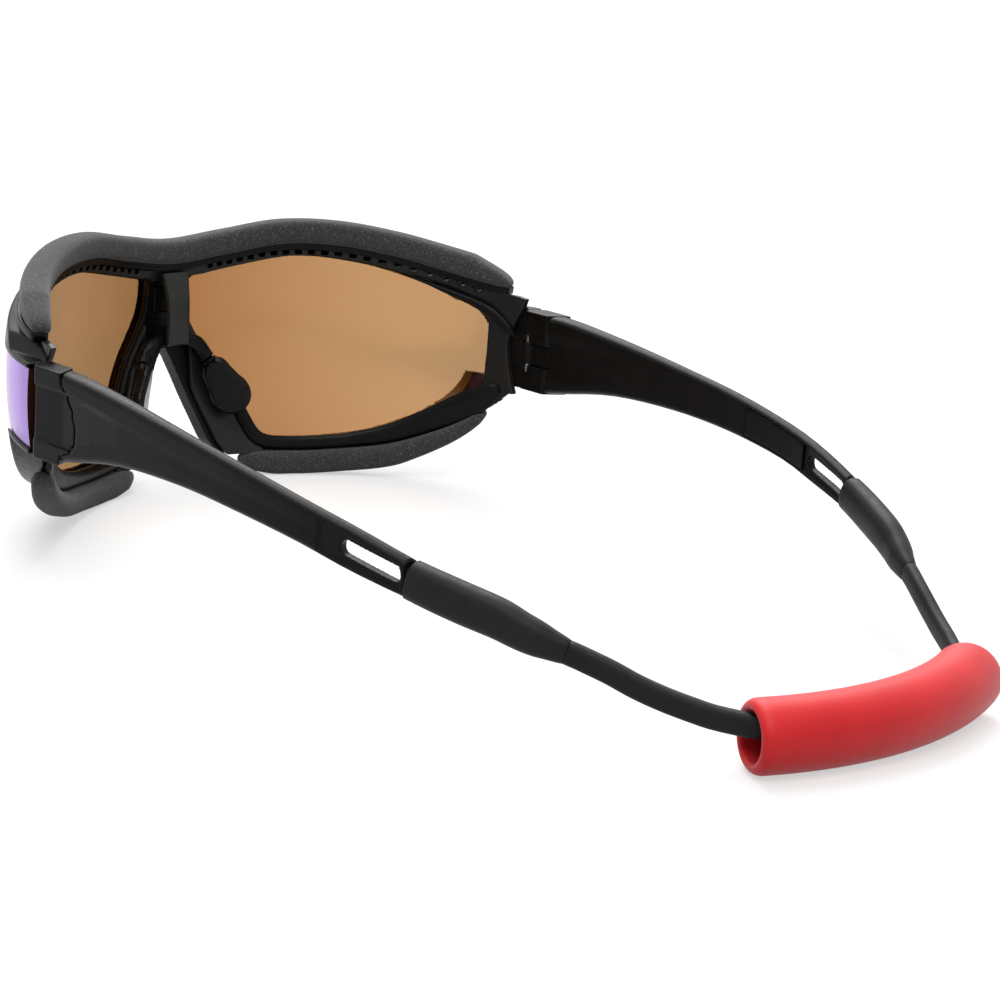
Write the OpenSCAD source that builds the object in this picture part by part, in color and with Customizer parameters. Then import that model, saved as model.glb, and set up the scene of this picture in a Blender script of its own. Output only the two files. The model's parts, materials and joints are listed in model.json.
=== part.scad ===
// Wrap-around sports sunglasses with a foam gasket and a head strap with a float.
// The wearer looks along +Y and the wearer's right is +X. The mirror plane is X = 0.
// Z = 0 is the surface that the cheek foam and the float stand on.

/* [Lenses] */
// Outer radius of the sphere that both lenses follow
lens_r = 69; // [67:0.5:72]
// Thickness of a lens
lens_t = 2; // [1.6:0.1:2.4]
// Width of one lens opening, measured along the lens
eye_w = 72.3; // [68:0.1:76]
// Height of one lens opening
eye_h = 42.2; // [39:0.1:44]
// Distance between the two lens openings at the bridge
eye_gap = 10.4; // [10:0.2:12]
// How far a lens reaches under the rim
lens_lap = 1.2; // [0.8:0.1:1.6]

/* [Frame] */
// Width of the rim around a lens opening
rim_w = 2; // [1.8:0.1:2.4]
// Thickness of the rim behind the lens
rim_back = 1.8; // [1.4:0.1:2.4]
// Thickness of the lip in front of the lens
rim_lip = 0.6; // [0.4:0.1:1]
// Number of vent slots over each lens
vent_count = 21; // [12:1:22]
// Mean width of a vent slot
vent_w = 1.6; // [0.9:0.1:1.8]
// Height of a vent slot
vent_h = 1.1; // [0.8:0.1:1.3]
// Depth of a vent slot
vent_depth = 3; // [1:0.5:3.5]
// Thickness of the bridge strip
strip_t = 1.4; // [1:0.1:2]
// Width of the bridge strip
strip_w = 6; // [5:0.5:7.5]

/* [Foam] */
// Height of the brow foam
brow_foam_h = 6.4; // [5:0.2:7]
// Height of the cheek foam
cheek_foam_h = 4.5; // [3.5:0.1:5.5]
// Depth of the foam towards the face
foam_d = 6; // [4:0.5:8]
// Thickness of the plastic carrier behind the foam
carrier_t = 1.3; // [1:0.1:1.8]

/* [Hinge] */
// Height of the hinge end of a temple
hinge_h = 18; // [16:0.2:20]
// Radius of the hinge pin
pin_r = 0.8; // [0.6:0.1:0.9]
// Radius of the temple's hinge barrel
barrel_r = 1.65; // [1.5:0.05:1.8]
// Height of the temple's hinge tongue
tongue_h = 4.8; // [3.5:0.1:6]
// Distance of the pin in front of the seam with the temple
pin_ahead = 6.5; // [6:0.1:6.8]
// Height of the raised rails along the hinge and the temple
rail_h = 3.6; // [3:0.1:5]
// How far the rails stand proud
rail_t = 0.7; // [0.3:0.1:0.9]

/* [Temple] */
// Length of a temple from the hinge seam to its hidden tip
temple_len = 109; // [100:1:118]
// Thickness of a temple at the hinge seam
temple_root_t = 5; // [4.4:0.1:5.4]
// Thickness of a temple at the sleeve
temple_tip_t = 3.6; // [3.2:0.1:4.2]
// Length of the slot through a temple
slot_len = 12.4; // [8:0.2:14]
// Height of the slot through a temple
slot_h = 2.8; // [2:0.1:3.2]
// Depth of the pocket around the slot
pocket_depth = 0.7; // [0.4:0.1:0.9]
// Length of the liner in the pocket
liner_len = 18.5; // [8:0.5:19]

/* [Sleeve and strap] */
// Height of the rubber sleeve at its front end
sleeve_h = 7; // [6.6:0.1:9]
// Thickness of the rubber sleeve at its front end
sleeve_t = 5; // [4.6:0.1:6.4]
// Height of the strap
strap_h = 4.2; // [3:0.1:5]
// Thickness of the strap
strap_t = 2.8; // [2:0.1:3.4]

/* [Float] */
// Outer radius of the float
float_r = 6.4; // [6:0.1:8]
// Radius of the bore through the float
float_bore_r = 4.4; // [4:0.1:5.2]
// Radius of the arc that the float is bent to
float_bend_r = 69; // [66:1:72]
// Angle that the float covers on its arc
float_angle = 49.6; // [44:0.2:52]

/* [Hidden] */
LEFT = -1;
RIGHT = 1;
round_fn = 64;
ball_fn = 160;
far = 2 * lens_r;

// Clearances
fit = 0.1;
seat = 0.3;
turn_gap = 0.05;

// Heights: the cheek foam stands on Z = 0 and carries the rim under the lens openings
eye_z0 = cheek_foam_h + seat + rim_w;
eye_z1 = eye_z0 + eye_h;
hinge_z1 = eye_z1 - 7.5;
hinge_z0 = hinge_z1 - hinge_h;
eye_x0 = eye_gap / 2;
// Bearing of the temporal end of an opening, seen from the centre of the lens sphere
eye_end = (eye_x0 + eye_w) / lens_r * 180 / PI;
eye_x1 = lens_r * sin(eye_end);

// The lens sphere, placed so that the openings end a set distance ahead of the hinge seam
seam_y = 29;
hinge_back = 22.865;
lens_c = [0, seam_y + hinge_back - lens_r * cos(eye_end), eye_z0 + 0.668 * eye_h];
rim_r0 = lens_r - lens_t - rim_back;
rim_r1 = lens_r + rim_lip;
carrier_r1 = rim_r0 - fit;
carrier_r0 = carrier_r1 - carrier_t;
foam_r = rim_r0 + 0.4;
rail_r = rim_r1 + rail_t;

// The frame ends in front of the hinge, and the end piece fills the space behind it
frame_y = seam_y + 7.4;
end_y1 = frame_y - fit;
lens_back_y = frame_y + seat;

// Distance of a point from the middle plane at a depth, on a sphere about the lens centre
function side_x(r, y) = sqrt(pow(r, 2) - pow(y - lens_c[1], 2));

temple_x = side_x(rail_r, seam_y + 10) - temple_root_t / 2 - 1.05;
temple_in = temple_x - temple_root_t / 2;
temple_out = temple_x + temple_root_t / 2;

// The pin stands near the inner face of the hinge wall
pin_y = seam_y + pin_ahead;
pin_x = temple_in + barrel_r - fit;
tongue_z0 = hinge_z0 + 5.9;
tongue_out = pin_x + 1.2;
knuckle_gap = 0.15;
pin_show = 1.9;
pin_seat = 2.6;

// Seam on the outer side: share of the hinge height, distance behind the inner seam
seam_outer = [
    [0, 3], [0.12, 3.4], [0.19, 6.6], [0.3, 8.4], [0.45, 8.6],
    [0.62, 7.4], [0.78, 5.2], [0.9, 3.4], [1, 3]
];

// Outline of one lens opening along the lens, as shares of its width and height
eye_shape = [
    [0.000, 0.88], [0.046, 0.905], [0.156, 0.943], [0.303, 0.992],
    [0.395, 1], [0.485, 0.988], [0.615, 0.955], [0.791, 0.884],
    [0.928, 0.8], [1.000, 0.645], [0.985, 0.469], [0.936, 0.325],
    [0.816, 0.185], [0.625, 0.062], [0.461, 0.017], [0.301, 0],
    [0.199, 0.024], [0.159, 0.147], [0.124, 0.329], [0.081, 0.474],
    [0.037, 0.597], [0.004, 0.716]
];
curve_steps = 4;
// An opening is cut square to the lens just past the bearing of its temporal end
eye_bearing = eye_end + 3.45;

// Edge of the frame along the nose: half width, and height as a share of the opening
nose_edge = [
    [0.6, 0.515], [2.2, 0.445], [4, 0.345], [5.7, 0.235], [7.4, 0.125], [8.8, 0.02], [10.4, -0.045]
];
nose_low = [20, -0.045];
nasal_set = 1.2;
over_bridge = eye_z1 - 2.6;
window_w = eye_x0 + 0.6;
window_top = over_bridge - 2;

// Underside of the brow foam: bearing as a share of the opening's, height over the openings
brow_half = [
    [0.187, -0.2], [0.373, 2.1], [0.56, 2.1], [0.746, 0.4], [0.901, -1.7], [1.026, -3.3],
    [1.134, -4.2]
];
brow_mid = -1.9;
// Cheek foam: the points of the opening's outline that it follows, then its straight nasal end
cheek_run = [45, 60];
cheek_nasal = [22.5, 18.5, 15];
brow_gap = 0.5;

// Edges of a temple: share of its length behind the seam, drop below the hinge top
temple_top = [
    [0, 0], [0.064, 0.2], [0.156, 1.1], [0.248, 2.2], [0.385, 4.1],
    [0.523, 6.2], [0.66, 8.9], [0.752, 11.1], [0.844, 13.9], [1, 19]
];
temple_low = [
    [0, 1], [0.064, 0.925], [0.156, 0.82], [0.248, 0.77], [0.385, 0.765],
    [0.523, 0.82], [0.66, 0.925], [0.752, 1.05], [0.844, 1.165], [1, 1.36]
];
// Middle of a temple: share of its length, distance inward from the hinge end
temple_bow = [
    [0, 0], [0.15, 0], [0.3, 0], [0.41, 0.2], [0.523, 0.7],
    [0.66, 2.3], [0.752, 4.3], [0.844, 7], [0.92, 10], [1, 14]
];
sleeve_share = 0.862;
tang_h = 4;
tang_t = 2.4;
slot_share = [sleeve_share - 0.01 - slot_len / temple_len, sleeve_share - 0.01];
outer_pocket = [slot_share[0] - 0.038, slot_share[1] + 0.002];
inner_pocket = [slot_share[0] - liner_len / temple_len - 0.012, slot_share[1] + 0.002];
pocket_border = 1;

// Tail of the sleeve: steps from the temple's hidden tip to the strap
sleeve_tail = [[-1.9, -3.9, -1.5], [-4, -7.3, -2.8], [-6, -10.7, -3.9]];

// Route of the free strap on the wearer's right, from the sleeve to the float
strap_route = [
    [42.4, -93, 14.2], [40.5, -97, 12.9], [38.6, -101, 11.7], [36.3, -105, 10.5],
    [33.8, -109, 9.4], [31.2, -112.7, 8.5]
];
strap_half_angle = 19;
float_c = [0, -55.2, float_r];
strap_z = float_r + sqrt(pow(float_bore_r, 2) - pow(strap_t / 2, 2)) - strap_h / 2 - 0.5;

// Nose pads turn on a stem that leans back from the end of each arm
stem = [8.8, lens_c[1] + carrier_r0 - 3.6, lens_c[2] - 8.4];
stem_lean = -36;
stem_turn = 48;
pad_turn = -5;
stem_r = 0.9;
stem_len = 4;
pad_w = 8.4;
pad_h = 13.8;
pad_face_x = -2.1;
pad_rubber_t = 1.5;
pad_core_t = 1.7;

function lerp(a, b, t) = a + (b - a) * t;

// Smooth curve through four neighbouring points
function blend4(a, b, c, d, t) =
    0.5 * ((2 * b) + (c - a) * t + (2 * a - 5 * b + 4 * c - d) * t * t
    + (3 * b - a - 3 * c + d) * t * t * t);

function closed_curve(p, n) = [
    for (i = [0 : len(p) - 1], j = [0 : n - 1])
        blend4(p[(i + len(p) - 1) % len(p)], p[i], p[(i + 1) % len(p)],
            p[(i + 2) % len(p)], j / n)
];

function open_curve(p, n) = [
    for (i = [0 : len(p) - 2], j = [0 : n - 1])
        blend4(p[max(i - 1, 0)], p[i], p[i + 1], p[min(i + 2, len(p) - 1)], j / n),
    p[len(p) - 1]
];

// A closed outline moved outward by d
function grown(p, d) = [
    for (i = [0 : len(p) - 1])
        let (n = len(p), t = p[(i + 1) % n] - p[(i + n - 1) % n])
            p[i] + d * [-t[1], t[0]] / norm(t)
];

// A point given by its distance along the lens sphere from the middle plane, in a front view
function flat_at(z) = sqrt(pow(lens_r, 2) - pow(z - lens_c[2], 2));

function rolled(q) = [flat_at(q[1]) * sin(q[0] / flat_at(q[1]) * 180 / PI), q[1]];

eye_curve = closed_curve([
    for (s = eye_shape) [eye_x0 + s[0] * eye_w, eye_z0 + s[1] * eye_h]
], curve_steps);

// The outline of an opening, moved outward by d along the sphere, as a front view
function eye_outline(d) = [for (q = grown(eye_curve, d)) rolled(q)];

// A point of a front view, placed on a sphere about the lens centre
function on_front(r, p) = [
    p[0], lens_c[1] + sqrt(max(0, pow(r, 2) - pow(p[0], 2) - pow(p[1] - lens_c[2], 2))), p[1]
];

// Point on a sphere about the lens centre, at a bearing from straight ahead and a height
function on_ball(r, bearing, z) =
    let (flat_r = sqrt(pow(r, 2) - pow(z - lens_c[2], 2)))
        [flat_r * sin(bearing), lens_c[1] + flat_r * cos(bearing), z];

// Closed skin over rings of equal point counts
module skin(rings) {
    n = len(rings[0]);
    m = len(rings);
    polyhedron(
        points = [for (r = rings) for (p = r) p],
        faces = concat(
            [[for (k = [0 : n - 1]) k]],
            [for (i = [0 : m - 2]) for (k = [0 : n - 1])
                [i * n + k, (i + 1) * n + k, i * n + (k + 1) % n]],
            [for (i = [0 : m - 2]) for (k = [0 : n - 1])
                [(i + 1) * n + k, (i + 1) * n + (k + 1) % n, i * n + (k + 1) % n]],
            [[for (k = [n - 1 : -1 : 0]) (m - 1) * n + k]]
        ),
        convexity = 6
    );
}

// Rings square to a path: each is an outline [side, up] placed on the path's own axes
function rings_on(path, outlines) = [
    for (i = [0 : len(path) - 1])
        let (
            t = path[min(i + 1, len(path) - 1)] - path[max(i - 1, 0)],
            ahead = t / norm(t),
            side = cross([0, 0, 1], ahead) / norm(cross([0, 0, 1], ahead)),
            up = cross(ahead, side)
        )
        [for (q = outlines[i]) path[i] + q[0] * side + q[1] * up]
];

// Rounded outline of width w and height h with n points
function oval(w, h, n, power) =
    let (full = 2 * pow(cos(180 / n), power)) [
        for (k = [0 : n - 1])
            let (a = 360 * (k + 0.5) / n, c = cos(a), s = sin(a))
                [w * sign(c) * pow(abs(c), power), h * sign(s) * pow(abs(s), power)] / full
    ];

module on_side(side) {
    if (side == LEFT) mirror([1, 0, 0]) children();
    else children();
}

// Hollow ball about the lens centre, between two radii
module ball_shell(r0, r1) {
    translate(lens_c) difference() {
        sphere(r = r1, $fn = ball_fn);
        sphere(r = r0, $fn = ball_fn);
    }
}

// A flat outline in X and Z, carried through along Y from y0 forward
module through_y(y0) {
    translate([0, far + y0, 0]) rotate([90, 0, 0]) linear_extrude(height = far) children();
}

// A flat outline in Y and Z, carried through along X from x0 outward
module through_x(x0, reach) {
    translate([x0, 0, 0]) rotate([90, 0, 90]) linear_extrude(height = reach) children();
}

// Everything nearer to straight ahead than a bearing
module ahead_of(bearing) {
    linear_extrude(height = far) polygon([
        [lens_c[0], lens_c[1] - 1], [lens_c[0], lens_c[1] + 2 * far],
        [2 * far * sin(bearing), lens_c[1] + 2 * far * cos(bearing)]
    ]);
}

module eye(side, d) {
    on_side(side) intersection() {
        through_y(lens_c[1]) polygon(eye_outline(d));
        ahead_of(eye_bearing + d);
    }
}

// The strip beside the hinge where a lens runs back past the rim
module lens_tail(side, d) {
    edge = 1.1;
    on_side(side) through_y(lens_c[1])
        translate([eye_x1 - 6, hinge_z0 + edge - d])
            square([20, hinge_h - 2 * edge + 2 * d]);
}

function eye_z(share) = eye_z0 + share * eye_h;

// The space over the nose, wider by d than the frame's own nose edge
function nose_space(d, top) = concat(
    [for (p = nose_edge) [p[0] + d, eye_z(p[1])]],
    [[nose_low[0] + d, -eye_h / 4], [-1, -eye_h / 4], [-1, top - 0.1], [nose_edge[0][0] + d, top - 0.1]]
);

// The rims, the hinge ends and the band up to the underside of the brow foam, from y0 forward
module front_block(y0, rim, temple_up, temple_down) {
    beside = eye_x0 + 2.4;
    past = -0.5;
    for (side = [LEFT, RIGHT]) on_side(side) {
        through_y(y0) polygon(eye_outline(rim));
        through_y(y0) translate([eye_x1 - 6, hinge_z0 - temple_down])
            square([20, hinge_h + temple_up + temple_down]);
        through_y(y0) polygon(concat(
            [[past, eye_z(nose_edge[0][1])]],
            [for (p = nose_edge) [p[0], eye_z(p[1])]],
            [[nose_low[0], eye_z(nose_low[1])], [nose_low[0], eye_z(0.4)],
            [beside, over_bridge], [past, over_bridge]]
        ));
        through_y(y0) polygon(concat(
            [[past, over_bridge - 3]],
            [[past, brow_line[len(brow_half) * 3][2] - brow_foam_h / 2 - brow_gap]],
            [for (p = brow_line) if (p[0] > 0) [p[0], p[2] - brow_foam_h / 2 - brow_gap]],
            [[eye_x1 + 2, hinge_z1 - 0.5], [eye_x1 - 4, hinge_z1 - 0.5], [beside, over_bridge - 6]]
        ));
    }
}

// One row of vent slots under the brow foam, cut through the carrier and into the rim
module vents(side) {
    first = 0.14 * eye_end;
    last = 1.026 * eye_end;
    below = 0.45 + vent_h / 2;
    on_side(side) for (i = [0 : vent_count - 1]) {
        t = i / (vent_count - 1);
        bearing = lerp(first, last, (0.72 + 0.28 * t) * t);
        z = eye_z1 + lookup(bearing, brow_path) - below;
        wide = vent_w * (0.76 + 0.5 * t);
        translate(on_ball(carrier_r0, bearing, z)) rotate([0, 0, -bearing])
            translate([-wide / 2, -1, -vent_h / 2])
                cube([wide, 1 + vent_depth, vent_h]);
    }
}

module catch_place(d) {
    catch_w = 6.4;
    catch_h = 5.6;
    deep = 1.2;
    y = lens_c[1] + rim_r0 - deep / 2;
    translate([-catch_w / 2 - d, y - d, lens_c[2] + 2.2 - d])
        cube([catch_w + 2 * d, 1.5 * deep + d, catch_h + 2 * d]);
}

module front_frame() {
    color("dimgray") difference() {
        intersection() {
            ball_shell(rim_r0, rim_r1);
            front_block(frame_y, rim_w, 0, 0);
        }
        for (side = [LEFT, RIGHT]) {
            eye(side, 0);
            intersection() {
                ball_shell(lens_r - lens_t - fit, lens_r + fit);
                union() {
                    eye(side, lens_lap + fit);
                    lens_tail(side, fit);
                }
            }
            intersection() {
                ball_shell(lens_r, rim_r1 + 1);
                on_side(side) through_y(lens_c[1]) translate([eye_x1 - 2.5, hinge_z0 + 1])
                    square([20, hinge_h - 2]);
            }
            vents(side);
            on_side(side) translate([pin_x, pin_y, tongue_z0 - seat])
                cylinder(r = barrel_r + seat, h = tongue_h + 2 * seat, $fn = round_fn);
        }
        catch_place(fit);
    }
}

module lens(side) {
    color("peru") intersection() {
        ball_shell(lens_r - lens_t, lens_r);
        union() {
            eye(side, lens_lap);
            lens_tail(side, 0);
        }
        translate([-far, lens_back_y, 0]) cube([2 * far, far, far]);
    }
}

// Rear edge of the temple side of the carrier: a hollow curve beside the folded temple
carrier_side = concat(
    [[frame_y + far, 0], [seam_y + 18, 0], [seam_y + 12, hinge_z0 - 8], [seam_y + 8.6, hinge_z0 - 3.4]],
    open_curve([
        [seam_y + 7.7, hinge_z0 - 1.8], [seam_y + 9.9, hinge_z0 + 3.2],
        [seam_y + 11.2, hinge_z0 + 0.52 * hinge_h], [seam_y + 10.2, hinge_z1 - 4.4],
        [seam_y + 7.6, hinge_z1 + 0.2]
    ], 3),
    [[seam_y + 6.6, hinge_z1 + 2.6], [seam_y + 9, hinge_z1 + 3], [frame_y + far, eye_z1 + 6]]
);

module foam_carrier() {
    open_by = 0.4;
    carrier_rim = rim_w - 1.5;
    color("black") difference() {
        intersection() {
            ball_shell(carrier_r0, carrier_r1);
            difference() {
                front_block(seam_y, carrier_rim, 3, 1.4);
                for (side = [LEFT, RIGHT]) on_side(side) {
                    through_y(0) polygon(nose_space(nasal_set, window_top));
                    through_y(0) translate([-1, 0]) square([window_w + 1, window_top]);
                }
            }
            union() {
                translate([-far, seam_y + 18, 0]) cube([2 * far, far, far]);
                translate([-far, 0, 0]) through_x(0, 2 * far) polygon(carrier_side);
            }
        }
        for (side = [LEFT, RIGHT]) {
            eye(side, open_by);
            vents(side);
        }
    }
}

brow_path = open_curve(concat(
    [for (i = [len(brow_half) - 1 : -1 : 0]) [-brow_half[i][0] * eye_end, brow_half[i][1]]],
    [[0, brow_mid]], [for (b = brow_half) [b[0] * eye_end, b[1]]]
), 3);
brow_line = [for (p = brow_path) on_ball(foam_r, p[0], eye_z1 + p[1] + brow_foam_h / 2)];
brow_ends = 0.12;

// How much of its full section the foam has at a share of its length
function foam_full(t, ends) = min(1, 0.5 + 0.5 * sqrt(min(t, 1 - t) / ends));

foam_sides = 12;
foam_square = 0.5;

// Sections of the brow foam; towards its ends only its top comes down
function brow_rings() =
    let (
        n = len(brow_line) - 1,
        full = [for (i = [0 : n]) foam_full(i / n, brow_ends)],
        drop = [for (f = full) (1 - f) * brow_foam_h / 2]
    )
    rings_on([for (i = [0 : n]) brow_line[i] - [0, 0, drop[i]]], [
        for (f = full) oval(foam_d * f, brow_foam_h * f, foam_sides, foam_square)
    ]);

// Height of the cheek foam along its run, thin where it comes up beside the hinge
cheek_high = [[0, 0.36], [0.2, 0.7], [0.4, 0.98], [0.55, 1], [0.9, 1], [1, 0.6]];

function cheek_rings() =
    let (
        turns = cheek_run[1] - cheek_run[0],
        n = turns + len(cheek_nasal),
        high = [for (i = [0 : n]) cheek_foam_h * lookup(i / n, cheek_high)],
        flat = concat(
            [for (i = [0 : turns]) eye_outline(rim_w + seat + high[i] / 2)[cheek_run[0] + i]],
            [for (i = [1 : len(cheek_nasal)]) [cheek_nasal[i - 1], cheek_foam_h - high[turns + i] / 2]]
        )
    )
    rings_on([for (p = flat) on_front(foam_r, p)], [
        for (h = high) oval(foam_d * (0.4 + 0.6 * h / cheek_foam_h), h, foam_sides, foam_square)
    ]);

module foam_brow() {
    color("darkslategray") skin(brow_rings());
}

module foam_cheek(side) {
    color("darkslategray") on_side(side)
        skin(cheek_rings());
}

// Side view of the strip that springs from the brow down to the nose saddle
module bridge_strip() {
    top_z = over_bridge - 0.1;
    low_z = lens_c[2] - 4.6;
    front = lens_c[1] + carrier_r0 - 1.8;
    line = open_curve([
        [front - 1.5, low_z], [front - 1.6, low_z + 5], [front - 1.4, low_z + 9.5],
        [front - 0.5, top_z - 2.6], [front + 0.3, top_z]
    ], 4);
    n = len(line);
    color("dimgray") intersection() {
        through_x(-strip_w / 2, strip_w)
            polygon(concat(line, [for (i = [n - 1 : -1 : 0]) line[i] - [strip_t, 0]]));
        through_y(lens_c[1]) polygon([
            [-0.42 * strip_w, low_z - 1], [0.42 * strip_w, low_z - 1],
            [strip_w / 2, top_z + 1], [-strip_w / 2, top_z + 1]
        ]);
    }
}

module bridge_catch() {
    color("black") catch_place(0);
}

// A frame on the stem of a nose pad: the stem is its Z axis and the nose is along -X
module on_stem(side) {
    on_side(side) translate(stem) rotate([0, 0, stem_turn]) rotate([stem_lean, 0, 0]) children();
}

// Unit vector down the stem
stem_down = [
    -sin(stem_lean) * sin(stem_turn), sin(stem_lean) * cos(stem_turn), -cos(stem_lean)
];

module arm(side) {
    path = open_curve([
        [0.8, stem[1] + 2.4, stem[2] + 4.9], [3.6, stem[1] + 1.8, stem[2] + 4.7],
        [6.1, stem[1] + 0.9, stem[2] + 3.7], stem - 2.3 * stem_down, stem
    ], 3);
    on_side(side) skin(rings_on(path, [for (p = path) oval(3, 3, 8, 1)]));
}

module nose_saddle() {
    block_w = 6.8;
    color("black") union() {
        difference() {
            translate([-block_w / 2, lens_c[1] + carrier_r0 - 1.1, stem[2] + 3.4])
                cube([block_w, 4.4, 3.2]);
            translate(lens_c) difference() {
                sphere(r = rim_r1 + 5, $fn = ball_fn);
                sphere(r = rim_r0 - fit, $fn = ball_fn);
            }
        }
        arm(LEFT);
        arm(RIGHT);
        for (side = [LEFT, RIGHT]) on_stem(side)
            translate([0, 0, -stem_len]) cylinder(r = stem_r, h = stem_len + 0.8, $fn = round_fn);
    }
}

// Egg-shaped plate of a nose pad, standing across the local X axis
module pad_plate(grow, x0, thick) {
    low = pad_h - 0.5 * pad_w;
    translate([x0, 0, 0]) rotate([0, 90, 0]) linear_extrude(height = thick) union() {
        translate([low - 0.3, 0]) circle(r = pad_w / 2 + grow, $fn = round_fn);
        translate([0.34 * pad_h, 0]) circle(r = 0.36 * pad_w + grow, $fn = round_fn);
        polygon([
            [0.34 * pad_h, -0.36 * pad_w - grow], [low - 0.3, -pad_w / 2 - grow],
            [low - 0.3, pad_w / 2 + grow], [0.34 * pad_h, 0.36 * pad_w + grow]
        ]);
    }
}

module pad_core(side) {
    boss = 1.7;
    color("black") on_stem(side) difference() {
        union() {
            translate([0, 0, -stem_len - 1.2]) cylinder(r = boss, h = stem_len + 0.9, $fn = round_fn);
            rotate([0, 0, pad_turn]) {
                pad_plate(-1.7, pad_face_x + pad_rubber_t, pad_core_t);
                translate([pad_face_x + pad_rubber_t, -1.2, -0.72 * pad_h])
                    cube([2.8, 2.4, 0.62 * pad_h]);
            }
        }
        translate([0, 0, -stem_len - 0.1])
            cylinder(r = stem_r + turn_gap, h = stem_len + 2, $fn = round_fn);
    }
}

module pad_rubber(side) {
    rim = 0.9;
    color("dimgray") on_stem(side) rotate([0, 0, pad_turn]) difference() {
        union() {
            pad_plate(-0.5, pad_face_x, 0.6);
            pad_plate(0, pad_face_x + 0.5, pad_rubber_t - 0.5);
            pad_plate(-0.4, pad_face_x + pad_rubber_t - 0.1, 0.9);
        }
        pad_plate(-1.7 + 0.02, pad_face_x + pad_rubber_t, 3);
        rotate([0, 0, -pad_turn]) translate([0, 0, -stem_len - 1.4])
            cylinder(r = 1.9, h = stem_len + 4, $fn = round_fn);
    }
}

// The space behind the seam, moved forward by d; on the outer side the seam lies further back
module behind_seam(d) {
    out = temple_out + 1;
    past = (out - temple_in) / temple_root_t;
    steps = [for (p = seam_outer) [hinge_z0 + p[0] * hinge_h, seam_y - p[1] * past]];
    skin([
        for (p = concat([[-10, steps[0][1]]], steps, [[eye_z1, steps[len(steps) - 1][1]]])) [
            [temple_in - 40, -far, p[0]], [out, -far, p[0]], [out, p[1] + d, p[0]],
            [temple_in, seam_y + d, p[0]], [temple_in - 40, seam_y + d, p[0]]
        ]
    ]);
}

// Plan of the hinge wall, its outer face set back at the front end and at the seam
module wall_plan(front_in, rear_in) {
    step_y = seam_y + 5.2;
    rear_y = seam_y - 10;
    end_in = 1.5;
    inner = temple_in + 0.05;
    polygon([
        [inner, rear_y], [temple_out - rear_in, rear_y], [temple_out - rear_in, seam_y - 3],
        [temple_out + 0.3 - front_in, step_y], [temple_out + 0.1 - front_in, step_y + 0.5],
        [temple_out + 0.3 - end_in, end_y1], [inner, end_y1]
    ]);
}

module end_piece(side) {
    slot_front = pin_y + barrel_r + knuckle_gap;
    barrel_out = pin_x + barrel_r + knuckle_gap;
    inside = temple_in - 5;
    color("dimgray") on_side(side) difference() {
        union() {
            for (z = [hinge_z0, hinge_z1 - rail_h]) translate([0, 0, z])
                linear_extrude(height = rail_h) wall_plan(0, 0);
            translate([0, 0, hinge_z0]) linear_extrude(height = hinge_h) wall_plan(0.3, 0.9);
        }
        behind_seam(seat / 2);
        translate([0, 0, tongue_z0 - knuckle_gap])
            linear_extrude(height = tongue_h + 2 * knuckle_gap) polygon([
                [inside, seam_y - 11], [tongue_out + 0.3, seam_y - 11], [tongue_out + 0.3, pin_y - 1],
                [barrel_out, pin_y - 1], [barrel_out, slot_front], [inside, slot_front]
            ]);
        translate([inside, pin_y - 0.9, tongue_z0 - pin_show])
            cube([pin_x + 0.2 - inside, 2.4, tongue_h + 2 * pin_show]);
        translate([pin_x, pin_y, tongue_z0 - pin_seat - pin_show])
            cylinder(r = pin_r + 0.03, h = tongue_h + 2 * (pin_seat + pin_show), $fn = round_fn);
    }
}

module hinge_pin(side) {
    color("silver") on_side(side) translate([pin_x, pin_y, tongue_z0 - pin_seat - pin_show + 0.1])
        cylinder(r = pin_r, h = tongue_h + 2 * (pin_seat + pin_show) - 0.2, $fn = round_fn);
}

top_line = open_curve(temple_top, 4);
low_line = open_curve([for (p = temple_low) [p[0], p[1] * hinge_h]], 4);
bow_line = open_curve(temple_bow, 4);

// Middle of a temple on the wearer's right, at a share of its length
function temple_mid(s) = [
    temple_x - lookup(s, bow_line), seam_y - s * temple_len,
    hinge_z1 - (lookup(s, top_line) + lookup(s, low_line)) / 2
];

function temple_h(s) = lookup(s, low_line) - lookup(s, top_line);

function temple_t(s) = lerp(temple_root_t, temple_tip_t, min(s / 0.4, 1));

function within(s, span) = s > span[0] && s < span[1];

// Section across a temple: recessed at the hinge and at the pockets before the sleeve
function temple_section(s) =
    let (
        h = temple_h(s) / 2, t = temple_t(s) / 2,
        root = min(1, max(0, 1 - s / 0.2)), rail = min(rail_h, 0.36 * temple_h(s)),
        out = within(s, outer_pocket), inn = within(s, inner_pocket),
        edge = h - pocket_border,
        oz = out ? edge : h - rail, oe = out ? 0.05 : 0.8,
        od = out ? pocket_depth : 0.15 + 0.95 * root,
        iz = inn ? edge : 0.62 * h, ie = inn ? 0.05 : 0.3 * h,
        id = inn ? pocket_depth : 0.05 + 0.5 * root
    ) [
        [t - 1.6, -h], [t - 0.5, -h + 0.5], [t, -h + 1.2], [t - 0.03, -oz],
        [t - od, -oz + oe], [t - od, oz - oe], [t - 0.03, oz], [t, h - 0.95],
        [t - 0.55, h - 0.4], [t - 1.5, h],
        [-t + 1.5, h], [-t + 0.55, h - 0.4], [-t, h - 0.95], [-t + 0.03, iz],
        [-t + id, iz - ie], [-t + id, -iz + ie], [-t + 0.03, -iz],
        [-t, -h + 0.95], [-t + 0.5, -h + 0.4], [-t + 1.6, -h]
    ];

tang_section = oval(tang_t, tang_h, 20, 0.5);
pocket_step = 0.0004;
temple_stations = [
    for (i = [-1 : 22]) sleeve_share * i / 22,
    for (p = [outer_pocket[0], inner_pocket[0], outer_pocket[1]], e = [-1, 1]) p + e * pocket_step
];

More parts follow.
